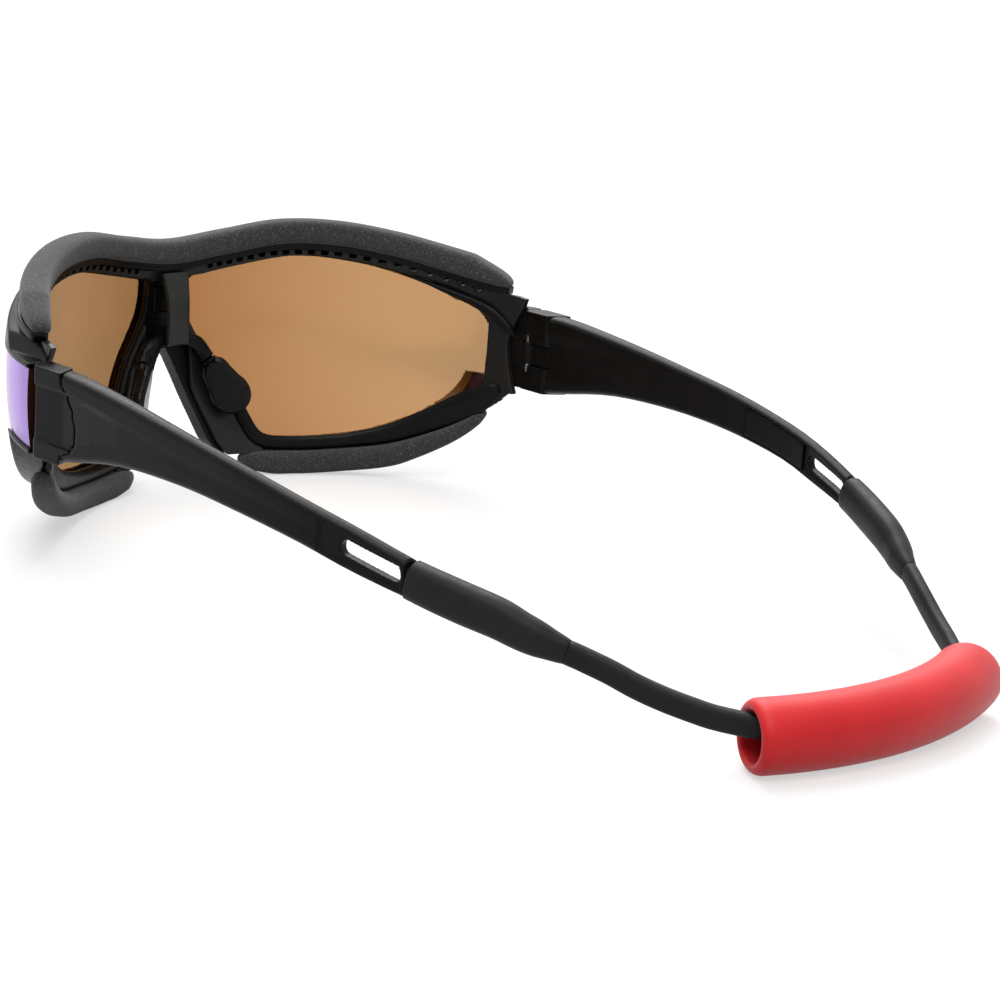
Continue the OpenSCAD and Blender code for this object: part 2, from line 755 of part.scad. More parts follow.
// Stations in order from the hinge to the sleeve
function sorted(v) = len(v) < 2 ? v : let (
    mid = v[floor(len(v) / 2)],
    low = [for (x = v) if (x < mid) x], same = [mid], high = [for (x = v) if (x > mid) x]
) concat(sorted(low), same, sorted(high));

function temple_rings() = concat(
    [for (s = sorted(temple_stations)) let (m = temple_mid(s))
        [for (q = temple_section(s)) [m[0] + q[0], m[1], m[2] + q[1]]]],
    [for (i = [0 : 4]) let (s = lerp(sleeve_share + 0.001, 0.985, i / 4), m = temple_mid(s))
        [for (q = tang_section) [m[0] + q[0], m[1], m[2] + q[1]]]]
);

// A slot with round ends, cut square through a temple between two shares of its length
module through_temple(s0, s1, h, out, deep) {
    a = temple_mid(s0);
    b = temple_mid(s1);
    turn = atan2(a[0] - b[0], a[1] - b[1]);
    tilt = atan2(a[2] - b[2], norm([a[0] - b[0], a[1] - b[1]]));
    length = norm(a - b);
    translate((a + b) / 2) rotate([0, 0, -turn]) rotate([tilt, 0, 0])
        translate([out, 0, 0]) rotate([0, 90, 0]) linear_extrude(height = deep) union() {
            square([h, length - h], center = true);
            for (end = [-1, 1]) translate([0, end * (length - h) / 2])
                circle(r = h / 2, $fn = round_fn);
        }
}

module temple(side) {
    color("dimgray") on_side(side) difference() {
        union() {
            intersection() {
                skin(temple_rings());
                behind_seam(-seat / 2);
            }
            translate([pin_x, pin_y, tongue_z0]) cylinder(r = barrel_r, h = tongue_h, $fn = round_fn);
            translate([temple_in + 0.7, seam_y - 9, tongue_z0])
                cube([tongue_out - temple_in - 0.7, pin_ahead + 9, tongue_h]);
        }
        translate([pin_x, pin_y, tongue_z0 - 1])
            cylinder(r = pin_r + turn_gap, h = tongue_h + 2, $fn = round_fn);
        through_temple(slot_share[0], slot_share[1], slot_h, -4, 8);
    }
}

// Lining pressed into the inner pocket, up to the slot
module liner(side) {
    first = inner_pocket[0] + 0.003;
    last = slot_share[0] - 0.012;
    n = 8;
    color("black") on_side(side) skin([
        for (i = [0 : n]) let (
            s = lerp(last, first, i / n), m = temple_mid(s),
            edge = temple_h(s) / 2 - pocket_border - fit, inner = m[0] - temple_t(s) / 2,
            x0 = inner + 0.12, x1 = inner + pocket_depth - 0.06,
            round = i == 0 || i == n ? 0.8 : 0.3
        ) [
            [x0, m[1], m[2] + edge - round], [x0 + 0.1, m[1], m[2] + edge - 0.4 * round],
            [x1, m[1], m[2] + edge - 0.3 * round], [x1, m[1], m[2] - edge + 0.3 * round],
            [x0 + 0.1, m[1], m[2] - edge + 0.4 * round], [x0, m[1], m[2] - edge + round]
        ]
    ]);
}

temple_end = temple_mid(1);
sleeve_path = open_curve(concat(
    [temple_mid(sleeve_share - 0.015), temple_mid(0.9), temple_mid(0.95), temple_end],
    [for (step = sleeve_tail) temple_end + step]
), 4);
strap_start = sleeve_path[len(sleeve_path) - 1];
strap_dir = (strap_start - sleeve_path[len(sleeve_path) - 2])
    / norm(strap_start - sleeve_path[len(sleeve_path) - 2]);

// Width and height of the sleeve along its path, as shares of its front section
sleeve_form = open_curve([
    [0, 0.94, 0.92], [0.02, 1, 1], [0.3, 1.05, 1.03], [0.5, 1.05, 1], [0.64, 1, 0.94],
    [0.78, 0.95, 0.86], [0.88, 0.78, 0.74], [1, strap_t / sleeve_t, strap_h / sleeve_h]
], 6);
sleeve_wide = [for (p = sleeve_form) [p[0], p[1]]];
sleeve_high = [for (p = sleeve_form) [p[0], p[2]]];

// Section of the rubber: flat inner side, and a broad round at the top outside
function sleeve_section(w, h) = [
    for (q = oval(2, 2, 16, 0.6)) let (lean = q[0] > 0 && q[1] > 0 ? 0.9 : 1)
        [q[0] * lean * w / 2, q[1] * lean * h / 2]
];

module sleeve(side) {
    n = len(sleeve_path) - 1;
    socket = [for (i = [0 : 6]) temple_mid(lerp(sleeve_share - 0.01, 0.992, i / 6))];
    color("darkslategray") on_side(side) difference() {
        skin(rings_on(sleeve_path, [
            for (i = [0 : n]) sleeve_section(
                sleeve_t * lookup(i / n, sleeve_wide), sleeve_h * lookup(i / n, sleeve_high))
        ]));
        translate([0, temple_mid(sleeve_share)[1] - seat / 2, 0]) cube([far, far / 4, far]);
        skin([for (m = socket) [
            for (q = oval(tang_t + 2 * fit, tang_h + 2 * fit, 20, 0.5)) [m[0] + q[0], m[1], m[2] + q[1]]
        ]]);
    }
}

strap_line = concat(
    [strap_start + 0.02 * strap_dir, strap_start + 0.6 * strap_dir],
    open_curve(concat(
        [strap_start + 2 * strap_dir], strap_route, [arc_at(23), arc_at(strap_half_angle + 1)]
    ), 4),
    [arc_at(strap_half_angle + 0.3), arc_at(strap_half_angle + 0.02)]
);

// Point of the strap on the float's arc, at an angle from the middle
function arc_at(angle) = [
    float_c[0] + float_bend_r * sin(angle), float_c[1] - float_bend_r * cos(angle), strap_z
];

strap_section = oval(strap_t, strap_h, 8, 0.6);

module strap(side) {
    color("black") on_side(side)
        skin(rings_on(strap_line, [for (p = strap_line) strap_section]));
}

module strap_middle() {
    color("black") translate([float_c[0], float_c[1], strap_z])
        rotate([0, 0, -90 - strap_half_angle]) rotate_extrude(angle = 2 * strap_half_angle, $fn = 240)
            translate([float_bend_r, 0]) polygon(strap_section);
}

module float_tube() {
    wall = float_r - float_bore_r;
    lip = wall / 2 - 0.05;
    body = float_angle - 2 * lip / float_bend_r * 180 / PI;
    color("red") translate(float_c) union() {
        rotate([0, 0, -90 - body / 2]) rotate_extrude(angle = body, $fn = 240)
            translate([float_bend_r, 0]) difference() {
                circle(r = float_r, $fn = round_fn);
                circle(r = float_bore_r, $fn = round_fn);
            }
        for (end = [-1, 1]) rotate([0, 0, end * body / 2]) translate([0, -float_bend_r, 0])
            rotate([0, 90, 0]) rotate_extrude($fn = round_fn)
                translate([float_bore_r + wall / 2, 0]) circle(r = lip, $fn = 24);
    }
}

// One line for each piece
front_frame();
lens(LEFT);  // lens_left
lens(RIGHT);  // lens_right
foam_carrier();
foam_brow();
foam_cheek(LEFT);  // foam_cheek_left
foam_cheek(RIGHT);  // foam_cheek_right
bridge_strip();
bridge_catch();
nose_saddle();
pad_core(LEFT);  // pad_core_left
pad_core(RIGHT);  // pad_core_right
pad_rubber(LEFT);  // pad_rubber_left
pad_rubber(RIGHT);  // pad_rubber_right
end_piece(LEFT);  // end_piece_left
end_piece(RIGHT);  // end_piece_right
hinge_pin(LEFT);  // hinge_pin_left
hinge_pin(RIGHT);  // hinge_pin_right
temple(LEFT);  // temple_left
temple(RIGHT);  // temple_right
liner(LEFT);  // temple_liner_left
liner(RIGHT);  // temple_liner_right
sleeve(LEFT);  // sleeve_left
sleeve(RIGHT);  // sleeve_right
strap(LEFT);  // strap_left
strap(RIGHT);  // strap_right
strap_middle();
float_tube();  // float
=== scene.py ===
import json
import math

import bmesh
import bpy
from mathutils import Matrix, Vector

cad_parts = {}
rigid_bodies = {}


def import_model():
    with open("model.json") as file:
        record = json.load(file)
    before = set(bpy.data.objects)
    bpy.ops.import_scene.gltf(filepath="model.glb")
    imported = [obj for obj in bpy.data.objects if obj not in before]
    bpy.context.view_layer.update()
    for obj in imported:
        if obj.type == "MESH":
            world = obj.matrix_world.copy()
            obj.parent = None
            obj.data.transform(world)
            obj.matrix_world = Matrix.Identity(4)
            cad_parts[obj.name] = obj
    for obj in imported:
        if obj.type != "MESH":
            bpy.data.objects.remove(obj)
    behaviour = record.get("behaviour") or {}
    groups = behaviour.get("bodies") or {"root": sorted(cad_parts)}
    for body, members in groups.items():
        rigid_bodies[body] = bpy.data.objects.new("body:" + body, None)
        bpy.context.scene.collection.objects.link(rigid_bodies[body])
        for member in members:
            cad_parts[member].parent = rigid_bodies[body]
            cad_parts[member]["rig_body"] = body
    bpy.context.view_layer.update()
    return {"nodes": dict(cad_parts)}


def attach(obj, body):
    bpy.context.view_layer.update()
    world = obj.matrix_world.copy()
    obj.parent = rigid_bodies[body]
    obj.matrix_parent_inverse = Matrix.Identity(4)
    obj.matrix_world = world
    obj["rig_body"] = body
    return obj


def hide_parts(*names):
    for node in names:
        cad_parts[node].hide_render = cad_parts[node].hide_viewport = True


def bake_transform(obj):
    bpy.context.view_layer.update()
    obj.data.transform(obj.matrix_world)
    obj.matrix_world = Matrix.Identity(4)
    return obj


# Lengths are in millimetres unless a comment says otherwise, and MM turns them into metres.
MM = 0.001
SIDES = {"left": -1, "right": 1}

# The sphere of the lenses and the hinge pins, as in the solids
LENS_C = Vector((0.0, 22.0, 34.99))
LENS_R = 69.0
PIN_X, PIN_Y, PIN_R = 63.6636, 35.5, 0.8

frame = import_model()
nodes = frame["nodes"]


# ---------------------------------------------------------------- camera
# Bearing, elevation and roll in degrees, and the camera's place in metres
CAMERA_TURN = (-43.54, 14.92, 3.78)
CAMERA_PLACE = (-0.3266, -0.3691, 0.1455)
FOCAL_LENGTH, SENSOR_WIDTH = 91.27, 36
SHIFT_X, SHIFT_Y = -0.0001, 0.0055
CLIP_NEAR, CLIP_FAR = 0.01, 30


def camera():
    az, el, roll = (math.radians(v) for v in CAMERA_TURN)
    back = Vector((math.sin(az) * math.cos(el), -math.cos(az) * math.cos(el), math.sin(el)))
    right = (-back).cross(Vector((0, 0, 1))).normalized()
    up = right.cross(-back)
    r = math.cos(roll) * right + math.sin(roll) * up
    u = -math.sin(roll) * right + math.cos(roll) * up
    data = bpy.data.cameras.new("camera")
    data.sensor_width = SENSOR_WIDTH
    data.lens = FOCAL_LENGTH
    data.shift_x = SHIFT_X
    data.shift_y = SHIFT_Y
    data.clip_start = CLIP_NEAR
    data.clip_end = CLIP_FAR
    cam = bpy.data.objects.new("camera", data)
    bpy.context.scene.collection.objects.link(cam)
    place = Matrix((r, u, back)).transposed().to_4x4()
    place.translation = Vector(CAMERA_PLACE)
    cam.matrix_world = place
    bpy.context.scene.camera = cam


camera()


# ---------------------------------------------------------------- materials
# Noise scales are per metre, and bump distances are in metres.
def shader(name, base, rough, spec=0.5):
    mat = bpy.data.materials.new(name)
    mat.use_nodes = True
    tree = mat.node_tree
    bsdf = tree.nodes["Principled BSDF"]
    bsdf.inputs["Base Color"].default_value = (*base, 1)
    bsdf.inputs["Roughness"].default_value = rough
    bsdf.inputs["Specular IOR Level"].default_value = spec
    return mat, tree, bsdf


def noise(tree, scale, detail=2.0, rough=0.5):
    where = tree.nodes.new("ShaderNodeTexCoord")
    tex = tree.nodes.new("ShaderNodeTexNoise")
    tex.inputs["Scale"].default_value = scale
    tex.inputs["Detail"].default_value = detail
    tex.inputs["Roughness"].default_value = rough
    tree.links.new(where.outputs["Object"], tex.inputs["Vector"])
    return tex.outputs["Fac"]


def seen_glow(tree, dim, bright):
    """A strength that is bright where it is seen, mirrored or looked through, else dim."""
    rays = tree.nodes.new("ShaderNodeLightPath")
    seen = rays.outputs["Is Camera Ray"]
    for kind in ("Is Glossy Ray", "Is Transmission Ray"):
        both = tree.nodes.new("ShaderNodeMath")
        both.operation = "MAXIMUM"
        tree.links.new(seen, both.inputs[0])
        tree.links.new(rays.outputs[kind], both.inputs[1])
        seen = both.outputs[0]
    glow = tree.nodes.new("ShaderNodeMath")
    glow.operation = "MULTIPLY_ADD"
    glow.inputs[1].default_value = bright - dim
    glow.inputs[2].default_value = dim
    tree.links.new(seen, glow.inputs[0])
    return glow.outputs[0]


def ramp(tree, fac, stops):
    node = tree.nodes.new("ShaderNodeValToRGB")
    keys = node.color_ramp.elements
    while len(keys) < len(stops):
        keys.new(0.5)
    for key, (pos, col) in zip(keys, stops):
        key.position = pos
        key.color = (*col, 1)
    tree.links.new(fac, node.inputs["Fac"])
    return node.outputs["Color"]


def bump(tree, bsdf, heights, strength, distance):
    node = tree.nodes.new("ShaderNodeBump")
    node.inputs["Strength"].default_value = strength
    node.inputs["Distance"].default_value = distance
    tree.links.new(heights, node.inputs["Height"])
    tree.links.new(node.outputs["Normal"], bsdf.inputs["Normal"])


def sheen(bsdf, weight, rough):
    bsdf.inputs["Sheen Weight"].default_value = weight
    bsdf.inputs["Sheen Roughness"].default_value = rough


def grey(v, warm=0.0):
    return (v * (1 + warm), v, v * (1 - warm))


def plastic(name, low, high, rough, spec, grain):
    """A black or grey, a little warm and cloudy, with a fine grain and uneven gloss."""
    mat, tree, bsdf = shader(name, grey(low), rough, spec)
    cloud = noise(tree, 180, 3)
    colour = ramp(tree, cloud, [(0.35, grey(low, 0.03)), (0.65, grey(high, 0.03))])
    tree.links.new(colour, bsdf.inputs["Base Color"])
    dull_stops = [(0.3, grey(rough - 0.05)), (0.7, grey(rough + 0.07))]
    dull = ramp(tree, noise(tree, 900, 4), dull_stops)
    tree.links.new(dull, bsdf.inputs["Roughness"])
    bump(tree, bsdf, noise(tree, grain, 2), 0.25, 0.00002)
    return mat


def foam_material():
    """Dark foam with small cells, a few of them pale."""
    mat, tree, bsdf = shader("foam_cells", grey(0.05), 0.95, 0.2)
    cells = noise(tree, 2600, 3, 0.7)
    stops = [(0.3, grey(0.022)), (0.52, grey(0.046)), (0.64, grey(0.08)), (0.70, grey(0.30))]
    tree.links.new(ramp(tree, cells, stops), bsdf.inputs["Base Color"])
    sheen(bsdf, 0.25, 0.6)
    bump(tree, bsdf, noise(tree, 1500, 5, 0.75), 0.9, 0.00012)
    return mat


def red_material():
    mat, tree, bsdf = shader("float_red", (0.66, 0.015, 0.018), 0.48, 0.3)
    stops = [(0.3, (0.60, 0.011, 0.015)), (0.7, (0.69, 0.016, 0.020))]
    tree.links.new(ramp(tree, noise(tree, 90, 3), stops), bsdf.inputs["Base Color"])
    sheen(bsdf, 0.16, 0.45)
    bump(tree, bsdf, noise(tree, 2200, 3), 0.25, 0.00003)
    return mat


# Index of refraction of both lens faces, low so that little is bent in the thin lens
LENS_IOR = 1.15
# Half width of the lenses in metres, over which the painted shade near the nose fades into the
# lighter tint toward the temples
NOSE_SHADE_REACH = 0.07


def lens_inside():
    """The brown tint, darkened toward the nose by painted shade and lighter toward the temples."""
    mat, tree, bsdf = shader("lens_tint_nose_shade", (0.5, 0.19, 0.025), 0.05, 0.5)
    bsdf.inputs["Transmission Weight"].default_value = 1.0
    bsdf.inputs["IOR"].default_value = LENS_IOR
    where = tree.nodes.new("ShaderNodeTexCoord")
    split = tree.nodes.new("ShaderNodeSeparateXYZ")
    tree.links.new(where.outputs["Object"], split.inputs["Vector"])
    away = tree.nodes.new("ShaderNodeMath")
    away.operation = "ABSOLUTE"
    tree.links.new(split.outputs["X"], away.inputs[0])
    scale = tree.nodes.new("ShaderNodeMath")
    scale.operation = "MULTIPLY"
    scale.inputs[1].default_value = 1 / NOSE_SHADE_REACH
    tree.links.new(away.outputs[0], scale.inputs[0])
    # Painted shade: the tint is darkest near the nose and grows lighter toward the temples
    stops = [(0.1, (0.39, 0.17, 0.008)), (0.75, (0.66, 0.44, 0.036))]
    tree.links.new(ramp(tree, scale.outputs[0], stops), bsdf.inputs["Base Color"])
    return mat


def lens_outside():
    """The violet mirror coat, rosy at a grazing angle."""
    mat, tree, bsdf = shader("lens_mirror", (0.7, 0.5, 0.98), 0.2, 0.5)
    bsdf.inputs["Transmission Weight"].default_value = 1.0
    bsdf.inputs["Metallic"].default_value = 0.43
    bsdf.inputs["IOR"].default_value = LENS_IOR
    facing = tree.nodes.new("ShaderNodeLayerWeight")
    facing.inputs["Blend"].default_value = 0.35
    stops = [(0.1, (0.54, 0.32, 1.0)), (0.7, (0.56, 0.34, 1.0)), (0.95, (1.0, 0.6, 0.85))]
    tree.links.new(ramp(tree, facing.outputs["Facing"], stops), bsdf.inputs["Base Color"])
    return mat


def lens_brown():
    mat, tree, bsdf = shader("lens_edge_brown", (0.035, 0.012, 0.006), 0.25, 0.5)
    stops = [(0.3, (0.028, 0.010, 0.005)), (0.7, (0.05, 0.018, 0.008))]
    tree.links.new(ramp(tree, noise(tree, 120, 2), stops), bsdf.inputs["Base Color"])
    return mat


def steel():
    mat, tree, bsdf = shader("pin_steel", grey(0.3), 0.35, 0.5)
    bsdf.inputs["Metallic"].default_value = 1.0
    bump(tree, bsdf, noise(tree, 4000, 2), 0.2, 0.00001)
    return mat


MAT = {
    "satin": plastic("satin_black", 0.003, 0.005, 0.32, 0.1, 5000),
    "temple": plastic("temple_black", 0.003, 0.005, 0.36, 0.1, 4000),
    "carrier": plastic("carrier_grey", 0.010, 0.015, 0.34, 0.2, 5000),
    # The strip is lighter than the black plastic around it: painted light for its upward face
    "strip": plastic("strip_painted_light_grey", 0.016, 0.024, 0.36, 0.25, 4000),
    "gloss": plastic("pad_black", 0.002, 0.004, 0.2, 0.14, 5000),
    "rubber": plastic("sleeve_rubber", 0.008, 0.012, 0.45, 0.16, 2600),
    "cord": plastic("strap_rubber", 0.007, 0.010, 0.5, 0.16, 2600),
    "foam": foam_material(),
    "red": red_material(),
    "lens_in": lens_inside(),
    "lens_out": lens_outside(),
    "lens_edge": lens_brown(),
    "steel": steel(),
}


# ---------------------------------------------------------------- helpers for pieces
def piece(name, mesh, mats):
    obj = bpy.data.objects.new(name, mesh)
    bpy.context.scene.collection.objects.link(obj)
    mesh.materials.clear()
    for m in mats:
        mesh.materials.append(m)
    return obj


def shade_smooth(mesh):
    mesh.polygons.foreach_set("use_smooth", [True] * len(mesh.polygons))


def grid_mesh(name, rings, loop=False):
    """A mesh over rings of equal point counts, capped at both ends unless it is a loop."""
    n, m = len(rings[0]), len(rings)
    verts = [tuple(v * MM for v in p) for r in rings for p in r]
    faces = []
    for i in range(m if loop else m - 1):
        j = (i + 1) % m
        for k in range(n):
            l = (k + 1) % n
            faces.append((i * n + k, i * n + l, j * n + l, j * n + k))
    if not loop:
        faces.append(tuple(range(n - 1, -1, -1)))
        faces.append(tuple((m - 1) * n + k for k in range(n)))
    mesh = bpy.data.meshes.new(name)
    mesh.from_pydata(verts, [], faces)
    bm = bmesh.new()
    bm.from_mesh(mesh)
    bmesh.ops.recalc_face_normals(bm, faces=bm.faces)
    bm.to_mesh(mesh)
    bm.free()
    shade_smooth(mesh)
    return mesh


def dressed(node, rings, mat, body, loop=False):
    """A lofted piece that stands for a solid."""
    obj = piece("look_" + node, grid_mesh(node, rings, loop), [mat])
    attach(obj, body)
    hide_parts(node)
    return obj


def trim(name, rings):
    """A lofted piece of plastic trim on the front, beside the solids."""
    obj = piece(name, grid_mesh(name, rings), [MAT["satin"]])
    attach(obj, "front")


def smooth_between(a, b, c, d, t):
    """A point between b and c on the smooth curve that the solids follow too."""
    return 0.5 * (2 * b + (c - a) * t + (2 * a - 5 * b + 4 * c - d) * t * t
                  + (3 * b - a - 3 * c + d) * t ** 3)


def curve_through(points, steps):
    out = []
    last = len(points) - 1
    for i in range(last):
        four = [Vector(points[j]) for j in (max(i - 1, 0), i, i + 1, min(i + 2, last))]
        out += [smooth_between(*four, s / steps) for s in range(steps)]
    out.append(Vector(points[last]))
    return out


def loop_through(points, steps):
    out = []
    n = len(points)
    for i in range(n):
        four = [Vector(points[(i + j) % n]) for j in (-1, 0, 1, 2)]
        out += [smooth_between(*four, s / steps) for s in range(steps)]
    return out


def between(line, x):
    """Height at x on a line of points (x, height) with straight stretches."""
    for a, b in zip(line, line[1:]):
        if x <= b[0]:
            return a[1] + (b[1] - a[1]) * (x - a[0]) / (b[0] - a[0])
    return line[-1][1]


def lofted(path, outlines):
    """Rings of a piece along a path, one outline to each point of it."""
    rings = []
    for i, p in enumerate(path):
        ahead = (path[min(i + 1, len(path) - 1)] - path[max(i - 1, 0)]).normalized()
        side = Vector((0, 0, 1)).cross(ahead).normalized()
        up = ahead.cross(side)
        rings.append([p + q[0] * side + q[1] * up for q in outlines[i]])
    return rings


def oval(w, h, n, power):
    """An outline of n points: power 1 is an ellipse, and less is more of a box."""
    pts = []
    for k in range(n):
        a = 2 * math.pi * (k + 0.5) / n
        c, s = math.cos(a), math.sin(a)
        pts.append((w / 2 * math.copysign(abs(c) ** power, c),
                    h / 2 * math.copysign(abs(s) ** power, s)))
    return pts


def mirrored(path, side):
    return [Vector((side * p.x, p.y, p.z)) for p in path]


# ---------------------------------------------------------------- moulded parts
# Room between a hinge pin and its bore
PIN_ROOM = 0.12
# How much a soft pad is larger than its solid, and how far its top leans toward the arm
PAD_GROWS = 1.12
PAD_IN, PAD_UP = 0.5, 1.0


def settle(obj):
    """Makes what the modifiers do final."""
    graph = bpy.context.evaluated_depsgraph_get()
    mesh = bpy.data.meshes.new_from_object(obj.evaluated_get(graph))
    obj.modifiers.clear()
    old = obj.data
    obj.data = mesh
    bpy.data.meshes.remove(old)


def moulded(node, mat, voxel, passes, keep=1.0):
    """A copy of a solid with rounded moulded edges."""
    mesh = nodes[node].data.copy()
    bm = bmesh.new()
    bm.from_mesh(mesh)
    bmesh.ops.remove_doubles(bm, verts=bm.verts, dist=1e-6)
    bm.to_mesh(mesh)
    bm.free()
    obj = piece("look_" + node, mesh, [mat])
    fine = obj.modifiers.new("fine", "REMESH")
    fine.mode = "VOXEL"
    fine.voxel_size = voxel * MM
    fine.use_smooth_shade = True
    soft = obj.modifiers.new("soft", "SMOOTH")
    soft.factor = 0.5
    soft.iterations = passes
    if keep < 1:
        less = obj.modifiers.new("less", "DECIMATE")
        less.ratio = keep
    settle(obj)
    obj.data.materials.clear()
    obj.data.materials.append(mat)
    shade_smooth(obj.data)
    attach(obj, nodes[node]["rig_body"])
    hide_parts(node)
    return obj


def clear_pin(temple, side):
    """Keeps the bore of a hinge clear of its pin."""
    axis = Vector((side * PIN_X, PIN_Y, 0)) * MM
    least = (PIN_R + PIN_ROOM) * MM
    for vert in temple.data.vertices:
        away = vert.co - axis
        away.z = 0
        if away.length < least:
            vert.co += away.normalized() * (least - away.length)
    temple.data.update()


def fuller(pad, side):
    """Lets a soft pad stand out a little beyond its solid, most of all toward its arm."""
    points = [v.co.copy() for v in pad.data.vertices]
    mid = sum(points, Vector()) / len(points)
    top = max(p.z for p in points)
    for vert in pad.data.vertices:
        up = (vert.co.z - mid.z) / (top - mid.z)
        vert.co = mid + PAD_GROWS * (vert.co - mid)
        if up > 0:
            vert.co += Vector((-side * PAD_IN, 0, PAD_UP)) * (up * up * MM)
    pad.data.update()


# ---------------------------------------------------------------- strap and float
# Sizes as in the solids, angles in degrees on the bend of the float
FLOAT_C = Vector((0, -55.2, 6.4))
FLOAT_R, BORE_R, BEND_R, FLOAT_ANGLE = 6.4, 4.4, 69.0, 49.6
STRAP_T, STRAP_H, STRAP_Z, HALF_ANGLE = 2.8, 4.2, 7.97133, 19.0
# Where the right stretch of the strap leaves its sleeve, which way, and its way from there
STRAP_START = Vector((44.6636, -90.7, 15.86))
STRAP_AHEAD = Vector((-0.486782, -0.832961, -0.263096))
STRAP_ROUTE = [(40.9, -97, 13.6), (38.7, -101, 11.9), (36.3, -105, 10.5),
               (33.8, -109, 9.4), (31.2, -112.7, 8.5)]
# Angle at which the strap's side stretch joins the float's bend, and the steps inside the float
JOINS_AT, STRAP_INSIDE_STEPS = 23, 40
# The float's rounded ends: radius at the outside, radius at the bore, and length
MOUTH_OUTER, MOUTH_INNER, MOUTH_LONG = 1.35, 0.6, 2.0
TUBE_STEPS, TUBE_SIDES = 60, 72


def arc_at(angle):
    a = math.radians(angle)
    return Vector((BEND_R * math.sin(a), FLOAT_C.y - BEND_R * math.cos(a), STRAP_Z))


def strap_path():
    """The strap's right side stretch, straight at first and on the float's bend at last."""
    start, ahead = STRAP_START, STRAP_AHEAD
    free = curve_through([start + 2 * ahead, *STRAP_ROUTE, arc_at(JOINS_AT),
                          arc_at(HALF_ANGLE + 1)], 8)
    return [start + 0.02 * ahead, start + 0.6 * ahead, start + 1.3 * ahead, *free,
            arc_at(HALF_ANGLE + 0.5), arc_at(HALF_ANGLE + 0.02)]


def strap_stretch(name, path, temple=None):
    """One stretch of the strap. A side stretch is left where it is built and is not attached to its
    temple.
    """
    rings = lofted(path, [oval(STRAP_T, STRAP_H, 24, 0.72)] * len(path))
    obj = piece("look_strap_" + name, grid_mesh("strap_" + name, rings), [MAT["cord"]])
    if temple:
        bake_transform(obj)
    else:
        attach(obj, "front")
    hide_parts("strap_" + name)


def make_straps():
    for name, side in SIDES.items():
        strap_stretch(name, mirrored(strap_path(), side), name + "_temple")
    steps = STRAP_INSIDE_STEPS
    strap_stretch("middle", [arc_at(HALF_ANGLE - 2 * HALF_ANGLE * i / steps)
                             for i in range(steps + 1)])


def make_float():
    """A bent foam tube with soft rounded mouths."""
    end = math.radians(FLOAT_ANGLE) / 2
    outer, inner = end - MOUTH_LONG / BEND_R, end - MOUTH_INNER / BEND_R
    turns = [math.radians(t) for t in range(0, 91, 10)]
    # Pairs of a radius about the tube's middle and an angle on its bend
    line = [(FLOAT_R, -outer + 2 * outer * i / TUBE_STEPS) for i in range(TUBE_STEPS + 1)]
    mouth = [(FLOAT_R - MOUTH_OUTER + MOUTH_OUTER * math.cos(t),
              outer + MOUTH_LONG * math.sin(t) / BEND_R) for t in turns[1:]]
    mouth += [(BORE_R + MOUTH_INNER - MOUTH_INNER * math.sin(t),
               inner + MOUTH_INNER * math.cos(t) / BEND_R) for t in turns]
    line += mouth
    line += [(BORE_R, inner - 2 * inner * i / TUBE_STEPS) for i in range(1, TUBE_STEPS)]
    line += [(r, -a) for r, a in reversed(mouth)]
    rings = []
    for r, a in line:
        out = Vector((math.sin(a), -math.cos(a), 0))
        around = (2 * math.pi * k / TUBE_SIDES for k in range(TUBE_SIDES))
        rings.append([FLOAT_C + out * (BEND_R + r * math.cos(t))
                      + Vector((0, 0, r * math.sin(t))) for t in around])
    obj = dressed("float", rings, MAT["red"], nodes["float"]["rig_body"], loop=True)


# ---------------------------------------------------------------- lenses
# A face of a lens counts as inner or outer where it is this square to the sphere
SQUARE = 0.9


def make_lens(name):
    """A lens with its tint inside and its mirror coat outside."""
    mesh = nodes["lens_" + name].data.copy()
    mats = [MAT["lens_in"], MAT["lens_out"], MAT["lens_edge"]]
    obj = piece("look_lens_" + name, mesh, mats)
    centre = LENS_C * MM
    for poly in mesh.polygons:
        facing = poly.normal.dot((poly.center - centre).normalized())
        poly.material_index = 1 if facing > SQUARE else 0 if facing < -SQUARE else 2
        poly.use_smooth = True
    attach(obj, "front")
    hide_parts("lens_" + name)


# ---------------------------------------------------------------- foam and edge beads
# Lens opening, brow and cheek lines, as in the solids
EYE_X0, EYE_W, EYE_Z0, EYE_H, EYE_Z1 = 5.2, 72.3, 6.8, 42.2, 49.0
# Bearing of the opening's outer end in degrees
EYE_END = 64.355
FOAM_R, FOAM_D, BROW_H, CHEEK_H, RIM_W, SEAT = 65.6, 6.0, 6.4, 4.5, 2.0, 0.3
# The opening's outline in shares of its width and height
EYE_SHAPE = [
    (0.000, 0.88), (0.046, 0.905), (0.156, 0.943), (0.303, 0.992), (0.395, 1), (0.485, 0.988),
    (0.615, 0.955), (0.791, 0.884), (0.928, 0.8), (1.000, 0.645), (0.985, 0.469), (0.936, 0.325),
    (0.816, 0.185), (0.625, 0.062), (0.461, 0.017), (0.301, 0), (0.199, 0.024), (0.159, 0.147),
    (0.124, 0.329), (0.081, 0.474), (0.037, 0.597), (0.004, 0.716)]
# The brow line: bearing in shares of EYE_END, and height above EYE_Z1
BROW = [(0.187, -0.2), (0.373, 2.1), (0.56, 2.1), (0.746, 0.4), (0.901, -1.7), (1.026, -3.3),
        (1.134, -4.2)]
BROW_DIP = -1.9
# The black seat under the brow foam: how much of it shows, its height, the height of its
# middle above the brow line, and how much shallower it is than the foam
SEAT_SHOWS, SEAT_H, SEAT_MID, SEAT_LESS = 0.9, 1.8, 0.4, 0.4
# The cheek foam: pairs of shares of its length and its height, its first place along the
# opening's outline and the number of places from there, and where it goes on toward the nose
CHEEK_STATIONS = [(0, 0.36), (0.2, 0.7), (0.4, 0.98), (0.55, 1), (0.9, 1), (1, 0.6)]
CHEEK_FIRST, CHEEK_TURNS = 45, 15
CHEEK_NASAL = [22.5, 18.5, 15]
